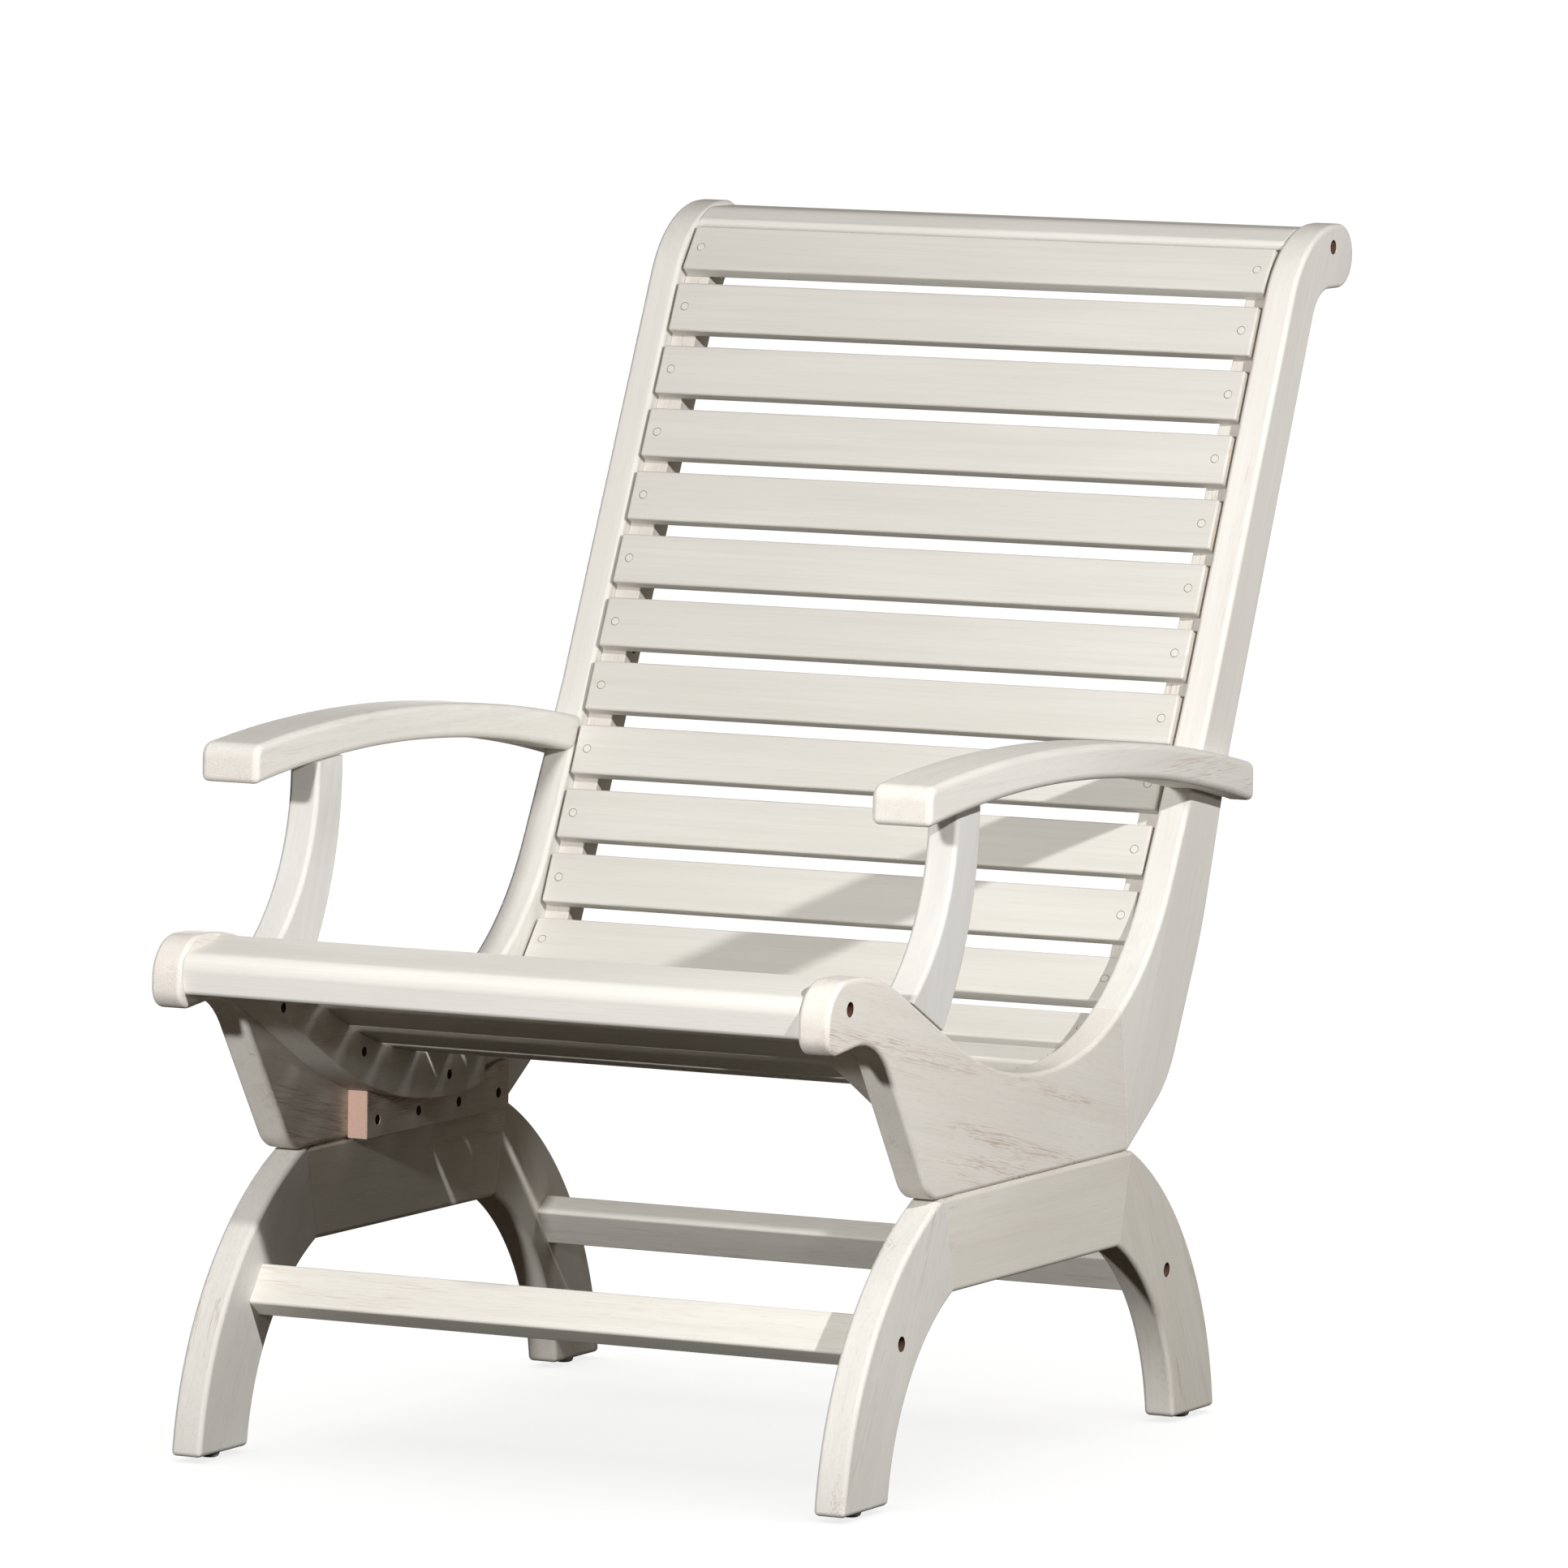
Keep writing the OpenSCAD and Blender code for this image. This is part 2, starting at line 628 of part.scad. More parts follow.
for (side = [-1, 1]) {
    hand = side < 0 ? "_left" : "_right";
    seat_side(side);
    back_stile(side);
    front_leg(side);
    rear_leg(side);
    base_beam(side);
    arm(side);
    arm_support(side);
    back_cleat(side);
    seat_cleat(side);
    mounting_block(side);
}
for (i = [1:back_slats]) slat(i);
for (i = [1:seat_slats])
    slat(back_slats + i);
front_stretcher();
rear_stretcher();
front_rail();
crest_rail();
slat_screws();
slat_plugs();
rail_bolts();
stretcher_bolts();
base_bolts();
block_screws();
cleat_screws();
arm_screws();
mitre_dowels();
seam_dowels();
support_dowels();
glides();
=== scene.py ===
"""The look of a whitewashed garden armchair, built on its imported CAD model."""

import math

import bmesh
import bpy
from mathutils import Matrix, Vector
from mathutils.bvhtree import BVHTree


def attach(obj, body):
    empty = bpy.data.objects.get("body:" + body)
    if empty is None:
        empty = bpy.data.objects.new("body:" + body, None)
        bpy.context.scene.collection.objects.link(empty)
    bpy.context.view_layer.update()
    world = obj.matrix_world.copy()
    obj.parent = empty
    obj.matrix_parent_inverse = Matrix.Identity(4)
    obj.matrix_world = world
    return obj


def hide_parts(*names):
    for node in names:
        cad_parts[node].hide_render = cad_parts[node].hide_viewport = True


bl_info = {
    "name": "Plantation Armchair Finish",
    "version": (1, 0, 0),
    "blender": (4, 5, 0),
    "location": "View3D > Sidebar > Armchair",
    "description": "Rounds and finishes the boards, slats and fittings of a slatted garden armchair",
    "category": "Object",
}

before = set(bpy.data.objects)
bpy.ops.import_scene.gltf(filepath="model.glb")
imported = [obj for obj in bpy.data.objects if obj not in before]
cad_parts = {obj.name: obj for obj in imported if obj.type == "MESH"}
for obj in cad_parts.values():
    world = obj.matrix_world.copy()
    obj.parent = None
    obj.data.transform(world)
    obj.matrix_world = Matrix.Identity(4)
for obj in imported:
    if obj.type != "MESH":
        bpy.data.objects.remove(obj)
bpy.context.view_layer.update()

BODY = "root"
HANDS = ("left", "right")
MM = 0.001

# Slopes of the side board below level and of the back behind upright.
SIDE_BOARD_SLOPE = math.radians(12)
BACK_LEAN = math.radians(24.9)

# Directions along the grain, in the row frame.
ALONG_X = Vector((1, 0, 0))
ALONG_Y = Vector((0, 1, 0))
SIDE_BOARD_GRAIN = Vector((0, math.cos(SIDE_BOARD_SLOPE), -math.sin(SIDE_BOARD_SLOPE)))
STILE_GRAIN = Vector((0, math.sin(BACK_LEAN), math.cos(BACK_LEAN)))
FRONT_LEG_GRAIN = Vector((0, 0.46, 0.888)).normalized()
REAR_LEG_GRAIN = Vector((0, -0.46, 0.888)).normalized()
SUPPORT_GRAIN = Vector((0, 0.3, 0.954)).normalized()

FLAT_ANGLE = math.radians(0.2)        # faces closer than this are one plane
SHARP_ANGLE = math.radians(25)        # edges past this are rounded
SMALL_LOOP = 17 * MM                  # an edge loop no larger than this is a bolt or screw hole
TOUCHING = 0.05 * MM                  # an edge this close to a glued neighbour stays square
BORE_FACE = 110 * MM * MM             # faces smaller than this, next to a hole's edge, are its bore
SMOOTH_ANGLE = math.radians(38)       # faces past this meet in a crease
FACET_ANGLE = math.radians(3)         # the same, on the cleats, whose beds are flat facets
CORNER_ANGLE = math.radians(45)       # edges past this, left after the rounding, are broken
SAME_PLACE = 0.001 * MM               # points closer than this are one point
PLUG_ROUND = 0.5 * MM
BOLT_ROUND = 0.4 * MM
GLIDE_ROUND = 0.5 * MM

# How the washed finish is put together: shares of each layer, gloss and relief.
STREAK_SHARE = 0.42
CLOUD_SHARE = 0.34
PEPPER_SHARE = 0.3
PORE_ROUGHNESS = 0.2
CLOUD_GLOSS = 0.06
WASH_SPECULAR = 0.22
GRAIN_BUMP, GRAIN_DEPTH = 0.35, 0.25 * MM
SCRATCH_BUMP, SCRATCH_DEPTH = 0.2, 0.05 * MM


# ---------------------------------------------------------------- settings

class ArmchairShape(bpy.types.PropertyGroup):
    """Rounding of the edges."""

    board_round: bpy.props.FloatProperty(
        name="Board rounding", description="Radius on the edges of side boards, stiles and legs",
        default=4.5 * MM, min=0.5 * MM, max=8 * MM, subtype="DISTANCE", unit="LENGTH")
    arm_round: bpy.props.FloatProperty(
        name="Arm rounding", description="Radius on the long edges of the arms",
        default=6.5 * MM, min=0.5 * MM, max=9 * MM, subtype="DISTANCE", unit="LENGTH")
    slat_round: bpy.props.FloatProperty(
        name="Slat rounding", description="Radius on all edges of the slats",
        default=2.2 * MM, min=0.5 * MM, max=5 * MM, subtype="DISTANCE", unit="LENGTH")
    rail_round: bpy.props.FloatProperty(
        name="Stretcher rounding", description="Radius on the edges of the stretchers",
        default=2.5 * MM, min=0.5 * MM, max=6 * MM, subtype="DISTANCE", unit="LENGTH")
    cleat_round: bpy.props.FloatProperty(
        name="Cleat rounding", description="Radius on the edges of the cleats and blocks",
        default=1.2 * MM, min=0.3 * MM, max=3 * MM, subtype="DISTANCE", unit="LENGTH")
    broken_edge: bpy.props.FloatProperty(
        name="Broken edge", description="Chamfer on holes and at the glued joints",
        default=0.35 * MM, min=0.1 * MM, max=1 * MM, subtype="DISTANCE", unit="LENGTH")


class ArmchairFinish(bpy.types.PropertyGroup):
    """Colours of the wood and the metal."""

    wash: bpy.props.FloatVectorProperty(
        name="Whitewash", description="Colour of the wash on a smooth face",
        default=(0.81, 0.795, 0.75), size=3, min=0, max=1, subtype="COLOR")
    wash_thin: bpy.props.FloatVectorProperty(
        name="Thin wash", description="Colour where the wash is rubbed thin",
        default=(0.69, 0.665, 0.615), size=3, min=0, max=1, subtype="COLOR")
    pores: bpy.props.FloatVectorProperty(
        name="Open pores", description="Colour of the wood in the pores",
        default=(0.38, 0.235, 0.175), size=3, min=0, max=1, subtype="COLOR")
    end_grain: bpy.props.FloatVectorProperty(
        name="End grain", description="Colour of washed end grain",
        default=(0.80, 0.69, 0.61), size=3, min=0, max=1, subtype="COLOR")
    bare_end: bpy.props.FloatVectorProperty(
        name="Bare end grain", description="Colour of the sawn ends of the mounting blocks",
        default=(0.74, 0.50, 0.40), size=3, min=0, max=1, subtype="COLOR")
    bare_wood: bpy.props.FloatVectorProperty(
        name="Bare wood", description="Colour of the dowels",
        default=(0.60, 0.42, 0.27), size=3, min=0, max=1, subtype="COLOR")
    # Dark bare wood in the holes; most of its darkness is painted shade.
    bore: bpy.props.FloatVectorProperty(
        name="Bore", description="Colour of the wood inside the bolt holes",
        default=(0.15, 0.08, 0.055), size=3, min=0, max=1, subtype="COLOR")
    copper: bpy.props.FloatVectorProperty(
        name="Copper plating", description="Colour of the bolts and screws",
        default=(0.56, 0.27, 0.15), size=3, min=0, max=1, subtype="COLOR")
    steel: bpy.props.FloatVectorProperty(
        name="Nickel", description="Colour of the glides",
        default=(0.72, 0.75, 0.80), size=3, min=0, max=1, subtype="COLOR")


class ArmchairStage(bpy.types.PropertyGroup):
    """Floor, lights and camera."""

    floor: bpy.props.FloatVectorProperty(
        name="Floor", description="Colour of the floor",
        default=(0.30, 0.30, 0.30), size=3, min=0, max=1, subtype="COLOR")
    floor_glow: bpy.props.FloatProperty(
        name="Floor brightness", description="Light that the floor gives to the eye alone",
        default=0.82, min=0)
    floor_wash: bpy.props.FloatProperty(
        name="Floor wash", description="Strength of the soft light from above on the floor alone",
        default=2.3, min=0)
    floor_bounce: bpy.props.FloatVectorProperty(
        name="Floor bounce", description="Colour of the light that the floor throws back",
        default=(0.055, 0.042, 0.029), size=3, min=0, max=1, subtype="COLOR")
    key: bpy.props.FloatProperty(
        name="Key light", description="Power of the lamp on the right",
        default=84.0, min=0, unit="POWER")
    front: bpy.props.FloatProperty(
        name="Front light", description="Power of the lamp in front",
        default=76.0, min=0, unit="POWER")
    top: bpy.props.FloatProperty(
        name="Top light", description="Power of the soft light above",
        default=7.0, min=0, unit="POWER")
    side: bpy.props.FloatProperty(
        name="Side light", description="Power of the soft low light on the right",
        default=11.0, min=0, unit="POWER")
    rear: bpy.props.FloatProperty(
        name="Rear light", description="Power of the soft light behind",
        default=70.0, min=0, unit="POWER")
    sky: bpy.props.FloatVectorProperty(
        name="Room light", description="Even light from all round",
        default=(0.098, 0.083, 0.067), size=3, min=0, max=1, subtype="COLOR")


# ---------------------------------------------------------------- shader groups

def new_group(name, inputs, outputs):
    """A node group with its input and output sockets: (kind, name, default) and (kind, name)."""
    group = bpy.data.node_groups.new(name, "ShaderNodeTree")
    for kind, label, value in inputs:
        socket = group.interface.new_socket(label, in_out="INPUT", socket_type=kind)
        if value is not None:
            socket.default_value = value
    for kind, label in outputs:
        group.interface.new_socket(label, in_out="OUTPUT", socket_type=kind)
    start = group.nodes.new("NodeGroupInput")
    end = group.nodes.new("NodeGroupOutput")
    return group, start.outputs, end.inputs


class Wiring:
    """Short names for the nodes that the materials and groups use."""

    def __init__(self, tree):
        self.nodes, self.links = tree.nodes, tree.links

    def put(self, value, socket):
        if isinstance(value, bpy.types.NodeSocket):
            self.links.new(value, socket)
        else:
            socket.default_value = value

    def math(self, operation, a, b=0.0):
        node = self.nodes.new("ShaderNodeMath")
        node.operation = operation
        self.put(a, node.inputs[0])
        self.put(b, node.inputs[1])
        return node.outputs[0]

    def stretch(self, vector, scale, offset=(0, 0, 0)):
        node = self.nodes.new("ShaderNodeMapping")
        self.put(vector, node.inputs["Vector"])
        node.inputs["Scale"].default_value = scale
        node.inputs["Location"].default_value = offset
        return node.outputs["Vector"]

    def noise(self, vector, scale=1.0, detail=2.0, roughness=0.5):
        node = self.nodes.new("ShaderNodeTexNoise")
        self.put(vector, node.inputs["Vector"])
        node.inputs["Scale"].default_value = scale
        node.inputs["Detail"].default_value = detail
        node.inputs["Roughness"].default_value = roughness
        return node.outputs["Fac"]

    def ramp(self, value, low, high, to_low=0.0, to_high=1.0):
        node = self.nodes.new("ShaderNodeMapRange")
        node.interpolation_type = "SMOOTHSTEP"
        self.put(value, node.inputs["Value"])
        self.put(low, node.inputs["From Min"])
        self.put(high, node.inputs["From Max"])
        self.put(to_low, node.inputs["To Min"])
        self.put(to_high, node.inputs["To Max"])
        return node.outputs["Result"]

    def mix(self, factor, a, b):
        node = self.nodes.new("ShaderNodeMix")
        node.data_type = "RGBA"
        self.put(factor, node.inputs[0])
        self.put(a, node.inputs[6])
        self.put(b, node.inputs[7])
        return node.outputs[2]

    def group(self, group, **inputs):
        node = self.nodes.new("ShaderNodeGroup")
        node.node_tree = group
        for name, value in inputs.items():
            self.put(value, node.inputs[name.replace("_", " ")])
        return node.outputs

    def read(self, attribute):
        node = self.nodes.new("ShaderNodeAttribute")
        node.attribute_name = attribute
        return node.outputs


def grain_group():
    """Pores, streaks and clouds of a straight-grained hardwood, along the first axis of Grain."""
    group, given, out = new_group(
        "Straight grain",
        [("NodeSocketVector", "Grain", None),
         ("NodeSocketFloat", "Pore Share", 0.5),
         ("NodeSocketFloat", "Band Share", 0.5)],
        [("NodeSocketFloat", "Pores"), ("NodeSocketFloat", "Streaks"),
         ("NodeSocketFloat", "Clouds"), ("NodeSocketFloat", "Relief")])
    w = Wiring(group)
    grain = given["Grain"]
    fine = w.noise(w.stretch(grain, (45, 1250, 1250)), detail=1.0)
    coarse = w.noise(w.stretch(grain, (30, 950, 950), (7, 3, 1)), detail=1.0)
    bands = w.noise(w.stretch(grain, (2.2, 26, 26), (2, 9, 4)), detail=3.0, roughness=0.6)
    band_mask = w.ramp(bands, w.math("SUBTRACT", 0.72, w.math("MULTIPLY", given["Band Share"], 0.3)),
                       w.math("SUBTRACT", 0.86, w.math("MULTIPLY", given["Band Share"], 0.3)))
    threshold = w.math("SUBTRACT", 0.72, w.math("MULTIPLY", given["Pore Share"], 0.16))
    dashes = w.ramp(fine, threshold, w.math("ADD", threshold, 0.09))
    open_dashes = w.ramp(coarse, w.math("SUBTRACT", threshold, 0.07), w.math("ADD", threshold, 0.05))
    scattered = w.math("MULTIPLY", dashes, 0.3)
    in_bands = w.math("MULTIPLY", w.math("MAXIMUM", dashes, open_dashes), band_mask)
    pores = w.math("MAXIMUM", scattered, in_bands)
    w.put(pores, out["Pores"])
    wide = w.noise(w.stretch(grain, (1.8, 80, 80), (5, 1, 8)), detail=3.0, roughness=0.55)
    lines = w.noise(w.stretch(grain, (6, 360, 360), (8, 2, 5)), detail=2.0)
    streaks = w.math("ADD", w.math("MULTIPLY", w.ramp(wide, 0.34, 0.68), 0.6),
                     w.math("MULTIPLY", w.ramp(lines, 0.42, 0.7), 0.55))
    w.put(streaks, out["Streaks"])
    clouds = w.noise(w.stretch(grain, (2.6, 12, 12), (1, 6, 3)), detail=2.0)
    w.put(w.ramp(clouds, 0.34, 0.66), out["Clouds"])
    ripple = w.noise(w.stretch(grain, (30, 700, 700), (3, 3, 3)), detail=2.0)
    relief = w.math("SUBTRACT", w.math("MULTIPLY", ripple, 0.35), w.math("MULTIPLY", pores, 0.8))
    w.put(relief, out["Relief"])
    return group


def end_grain_group():
    """How much a face is end grain, and the pepper of pores on it."""
    group, given, out = new_group(
        "End grain",
        [("NodeSocketVector", "Grain", None), ("NodeSocketVector", "Along", None),
         ("NodeSocketVector", "Normal", None)],
        [("NodeSocketFloat", "Share"), ("NodeSocketFloat", "Pepper")])
    w = Wiring(group)
    dot = w.nodes.new("ShaderNodeVectorMath")
    dot.operation = "DOT_PRODUCT"
    w.put(given["Along"], dot.inputs[0])
    w.put(given["Normal"], dot.inputs[1])
    facing = w.math("ABSOLUTE", dot.outputs["Value"])
    w.put(w.ramp(facing, 0.72, 0.98), out["Share"])
    pepper = w.noise(w.stretch(given["Grain"], (60, 900, 900)), detail=1.0)
    rings = w.noise(w.stretch(given["Grain"], (4, 40, 150), (3, 0, 0)), detail=2.0)
    w.put(w.math("MULTIPLY", w.ramp(pepper, 0.5, 0.7), w.ramp(rings, 0.3, 0.7, 0.4, 1.0)), out["Pepper"])
    return group


def wear_group():
    """Wash rubbed off along the rounded edges."""
    group, given, out = new_group(
        "Rubbed edge",
        [("NodeSocketVector", "Grain", None), ("NodeSocketFloat", "Edge", 0.0)],
        [("NodeSocketFloat", "Rubbed")])
    w = Wiring(group)
    patches = w.noise(w.stretch(given["Grain"], (14, 60, 60)), detail=3.0)
    w.put(w.math("MULTIPLY", given["Edge"], w.ramp(patches, 0.42, 0.66)), out["Rubbed"])
    return group


GROUPS = {}


def shader_group(name, maker):
    if name not in GROUPS:
        GROUPS[name] = maker()
    return GROUPS[name]


def principled(name):
    material = bpy.data.materials.new(name)
    material.use_nodes = True
    tree = material.node_tree
    shader = next(n for n in tree.nodes if n.type == "BSDF_PRINCIPLED")
    return material, Wiring(tree), shader.inputs


def washed_wood(name, finish, pore_share, band_share, tint=(1, 1, 1), pore_strength=0.7, wear=0.5,
                end_colour=None, end_strength=0.3, gloss=0.62, rim=0.0):
    """Whitewashed hardwood whose grain follows the board's own attributes. A factor per piece darkens
    its wash, partly for its own tone and partly as painted shade; a dark rim, where asked for, darkens
    the rim of a plug.
    """
    material, w, shader = principled(name)
    grain = w.read("grain")["Vector"]
    along = w.read("along")["Vector"]
    edge = w.read("edge")["Fac"]
    normal = w.nodes.new("ShaderNodeNewGeometry").outputs["Normal"]
    wood = w.group(shader_group("grain", grain_group), Grain=grain,
                   Pore_Share=pore_share, Band_Share=band_share)
    end = w.group(shader_group("end", end_grain_group), Grain=grain, Along=along, Normal=normal)
    rub = w.group(shader_group("wear", wear_group), Grain=grain, Edge=edge)["Rubbed"]
    # The wash and thin wash are multiplied by the piece's factor: partly the piece's own tone, partly
    # painted shade.
    wash = [c * t for c, t in zip(finish.wash, tint)] + [1]
    thin = [c * t for c, t in zip(finish.wash_thin, tint)] + [1]
    pore = list(finish.pores) + [1]
    ends = list(end_colour or finish.end_grain) + [1]
    colour = w.mix(w.math("MULTIPLY", wood["Streaks"], STREAK_SHARE), wash, thin)
    colour = w.mix(w.math("MULTIPLY", wood["Clouds"], CLOUD_SHARE), colour, thin)
    colour = w.mix(w.math("MULTIPLY", wood["Pores"], pore_strength), colour, pore)
    colour = w.mix(w.math("MULTIPLY", end["Share"], end_strength), colour, ends)
    pepper = w.math("MULTIPLY", end["Share"], end["Pepper"])
    colour = w.mix(w.math("MULTIPLY", pepper, PEPPER_SHARE), colour, pore)
    colour = w.mix(w.math("MULTIPLY", rub, wear), colour, thin)
    # Darkens the rounded rim with the pore colour: partly the dark joint round a plug, partly painted
    # shade of the gap round it.
    if rim:
        colour = w.mix(w.math("MULTIPLY", edge, rim), colour, pore)
    w.put(colour, shader["Base Color"])
    rough = w.math("ADD", gloss, w.math("MULTIPLY", wood["Pores"], PORE_ROUGHNESS))
    w.put(w.math("SUBTRACT", rough, w.math("MULTIPLY", wood["Clouds"], CLOUD_GLOSS)),
          shader["Roughness"])
    shader["Specular IOR Level"].default_value = WASH_SPECULAR
    bump = w.nodes.new("ShaderNodeBump")
    bump.inputs["Strength"].default_value = GRAIN_BUMP
    bump.inputs["Distance"].default_value = GRAIN_DEPTH
    w.put(wood["Relief"], bump.inputs["Height"])
    w.put(bump.outputs["Normal"], shader["Normal"])
    return material


def plated_metal(name, colour, roughness, dull, metallic=1.0):
    """Plated metal with a little tarnish and fine scratches."""
    material, w, shader = principled(name)
    place = w.nodes.new("ShaderNodeTexCoord").outputs["Object"]
    tarnish = w.ramp(w.noise(place, scale=260, detail=3.0), 0.4, 0.72)
    darker = [c * dull for c in colour] + [1]
    w.put(w.mix(tarnish, list(colour) + [1], darker), shader["Base Color"])
    scratches = w.noise(w.stretch(place, (900, 900, 5000)), detail=2.0)
    w.put(w.math("ADD", roughness, w.math("MULTIPLY", w.math("ADD", tarnish, scratches), 0.12)),
          shader["Roughness"])
    shader["Metallic"].default_value = metallic
    bump = w.nodes.new("ShaderNodeBump")
    bump.inputs["Strength"].default_value = SCRATCH_BUMP
    bump.inputs["Distance"].default_value = SCRATCH_DEPTH
    w.put(scratches, bump.inputs["Height"])
    w.put(bump.outputs["Normal"], shader["Normal"])
    return material


def bare_wood(name, colour):
    """Plain turned wood for the dowels, and the dark wood in the holes, whose darkness is mostly painted
    shade.
    """
    material, w, shader = principled(name)
    place = w.nodes.new("ShaderNodeTexCoord").outputs["Object"]
    streaks = w.ramp(w.noise(w.stretch(place, (700, 60, 120)), detail=2.0), 0.35, 0.7)
    w.put(w.mix(streaks, list(colour) + [1], [c * 0.75 for c in colour] + [1]), shader["Base Color"])
    shader["Roughness"].default_value = 0.7
    return material


MATERIALS = {}


def material(name, maker, *given, **more):
    """The named material, made the first time it is asked for."""
    if name not in MATERIALS:
        MATERIALS[name] = maker(name, *given, **more)
    return MATERIALS[name]


# ---------------------------------------------------------------- boards

def merged_copy(node):
    """The CAD node's mesh as one closed skin, each flat face in one piece."""
    bm = bmesh.new()
    bm.from_mesh(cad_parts[node].data)
    bmesh.ops.remove_doubles(bm, verts=bm.verts, dist=SAME_PLACE)
    bmesh.ops.dissolve_limit(bm, angle_limit=FLAT_ANGLE, verts=bm.verts, edges=bm.edges)
    return bm


def sharp_edges(bm):
    return [e for e in bm.edges
            if e.is_manifold and e.is_convex and e.calc_face_angle(0) > SHARP_ANGLE]


def hole_loops(edges):
    """The loops of edges that are no larger than a bolt hole."""
    left, small = set(edges), []
    while left:
        loop, ends = set(), [left.pop()]
        while ends:
            edge = ends.pop()
            loop.add(edge)
            for vert in edge.verts:
                for near in vert.link_edges:
                    if near in left:
                        left.discard(near)
                        ends.append(near)
        points = [v.co for e in loop for v in e.verts]
        spread = max(max(p[i] for p in points) - min(p[i] for p in points) for i in range(3))
        if spread < SMALL_LOOP:
            small.append(loop)
    return small


def glued_edges(edges, neighbours):
    """Those edges that lie on the face of a glued neighbour."""
    found = set()
    for neighbour in neighbours:
        mesh = bmesh.new()
        mesh.from_mesh(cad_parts[neighbour].data)
        tree = BVHTree.FromBMesh(mesh)
        mesh.free()
        for edge in edges:
            a, b = (v.co for v in edge.verts)
            places = (a, b, (a + b) / 2)
            if all(tree.find_nearest(p, 1.0)[3] < TOUCHING for p in places):
                found.add(edge)
    return found


def round_edges(bm, edges, radius, segments):
    """Rounds the edges and marks the middle of each rounding as edge."""
    layer = bm.verts.layers.float.get("edge") or bm.verts.layers.float.new("edge")
    made = set(bmesh.ops.bevel(
        bm, geom=list(edges), offset=radius, offset_type="OFFSET", affect="EDGES",
        segments=segments, profile=0.5, material=-1, clamp_overlap=False)["faces"])
    for face in made:
        for vert in face.verts:
            if all(f in made for f in vert.link_faces):
                vert[layer] = 1.0


def add_grain(mesh, along, seed):
    """Writes each point's place in the plank that the board was cut from, and the plank's direction."""
    across = Vector((1, 0, 0)) if abs(along.x) < 0.5 else Vector((0, 0, 1))
    flat = along.cross(across).normalized()
    across = flat.cross(along).normalized()
    shift = Vector((1.37 * seed, 0.413 * seed, 0.291 * seed))
    grain = mesh.attributes.new("grain", "FLOAT_VECTOR", "POINT")
    direction = mesh.attributes.new("along", "FLOAT_VECTOR", "POINT")
    for i, vert in enumerate(mesh.vertices):
        place = vert.co
        grain.data[i].vector = Vector((place.dot(along), place.dot(flat), place.dot(across))) + shift
        direction.data[i].vector = along


def mark_bores(loops):
    """Gives the faces inside the bolt and screw holes the second material, a dark wood whose darkness is
    mostly painted shade.
    """
    rims = set().union(*loops)
    inside = set()
    for loop in loops:
        axis = sum((f.normal for e in loop for f in e.link_faces), Vector()).normalized()
        inside.update(f for e in loop for f in e.link_faces if abs(f.normal.dot(axis)) < 0.5)
    todo = list(inside)
    while todo:
        for edge in todo.pop().edges:
            for face in edge.link_faces:
                if edge not in rims and face not in inside and face.calc_area() < BORE_FACE:
                    inside.add(face)
                    todo.append(face)
    for face in inside:
        face.material_index = 1


def finish_piece(bm, node, name, finish_material, sharp=SMOOTH_ANGLE):
    """Turns the bmesh into the piece that stands for the CAD node."""
    mesh = bpy.data.meshes.new(name)
    bm.to_mesh(mesh)
    bm.free()
    mesh.materials.append(finish_material)
    mesh.shade_smooth()
    mesh.set_sharp_from_angle(angle=sharp)
    piece = bpy.data.objects.new(name, mesh)
    bpy.context.scene.collection.objects.link(piece)
    normals = piece.modifiers.new("Flat faces stay flat", "WEIGHTED_NORMAL")
    normals.keep_sharp = True
    normals.weight = 50
    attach(piece, BODY)
    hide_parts(node)
    return piece


def board(node, along, radius, finish_material, seed, broken, glued=(), segments=4,
          sharp=SMOOTH_ANGLE):
    """Rounds a CAD board and gives it grain. Edges at glued joints and holes are only broken."""
    bm = merged_copy(node)
    edges = sharp_edges(bm)
    holes = hole_loops(edges)
    mark_bores(holes)
    square = set().union(*holes) | glued_edges(edges, glued)
    round_edges(bm, [e for e in edges if e not in square], radius, segments)
    bm.normal_update()
    rest = [e for e in sharp_edges(bm) if e.calc_face_angle(0) > CORNER_ANGLE]
    round_edges(bm, rest, broken, 1)
    piece = finish_piece(bm, node, node + "_finished", finish_material, sharp)
    finish = bpy.context.scene.armchair_finish
    # Second material: the dark wood inside the holes, whose darkness is mostly painted shade.
    piece.data.materials.append(material("Bored wood", bare_wood, tuple(finish.bore)))
    add_grain(piece.data, along, seed)
    return piece


# ---------------------------------------------------------------- pieces

def settings(context):
    scene = context.scene
    return scene.armchair_shape, scene.armchair_finish


class ARMCHAIR_OT_side_frames(bpy.types.Operator):
    """Round and finish the two side boards and the two back stiles"""

    bl_idname = "armchair.side_frames"
    bl_label = "Side Frames"

    def execute(self, context):
        shape, finish = settings(context)
        # The side boards' wash is made a little warmer and darker: partly their tone, partly painted
        # shade.
        side = material("Washed side board", washed_wood, finish, 0.8, 0.6, tint=(1, 0.98, 0.965),
                        pore_strength=0.5, end_strength=0.15)
        stile = material("Washed stile", washed_wood, finish, 0.5, 0.35, pore_strength=0.35)
        for i, hand in enumerate(HANDS):
            seat_side, back_stile = "seat_side_" + hand, "back_stile_" + hand
            board(seat_side, SIDE_BOARD_GRAIN, shape.board_round, side, 1 + i,
                  shape.broken_edge, glued=[back_stile])
            board(back_stile, STILE_GRAIN, shape.board_round, stile, 3 + i,
                  shape.broken_edge, glued=[seat_side])
        return {"FINISHED"}


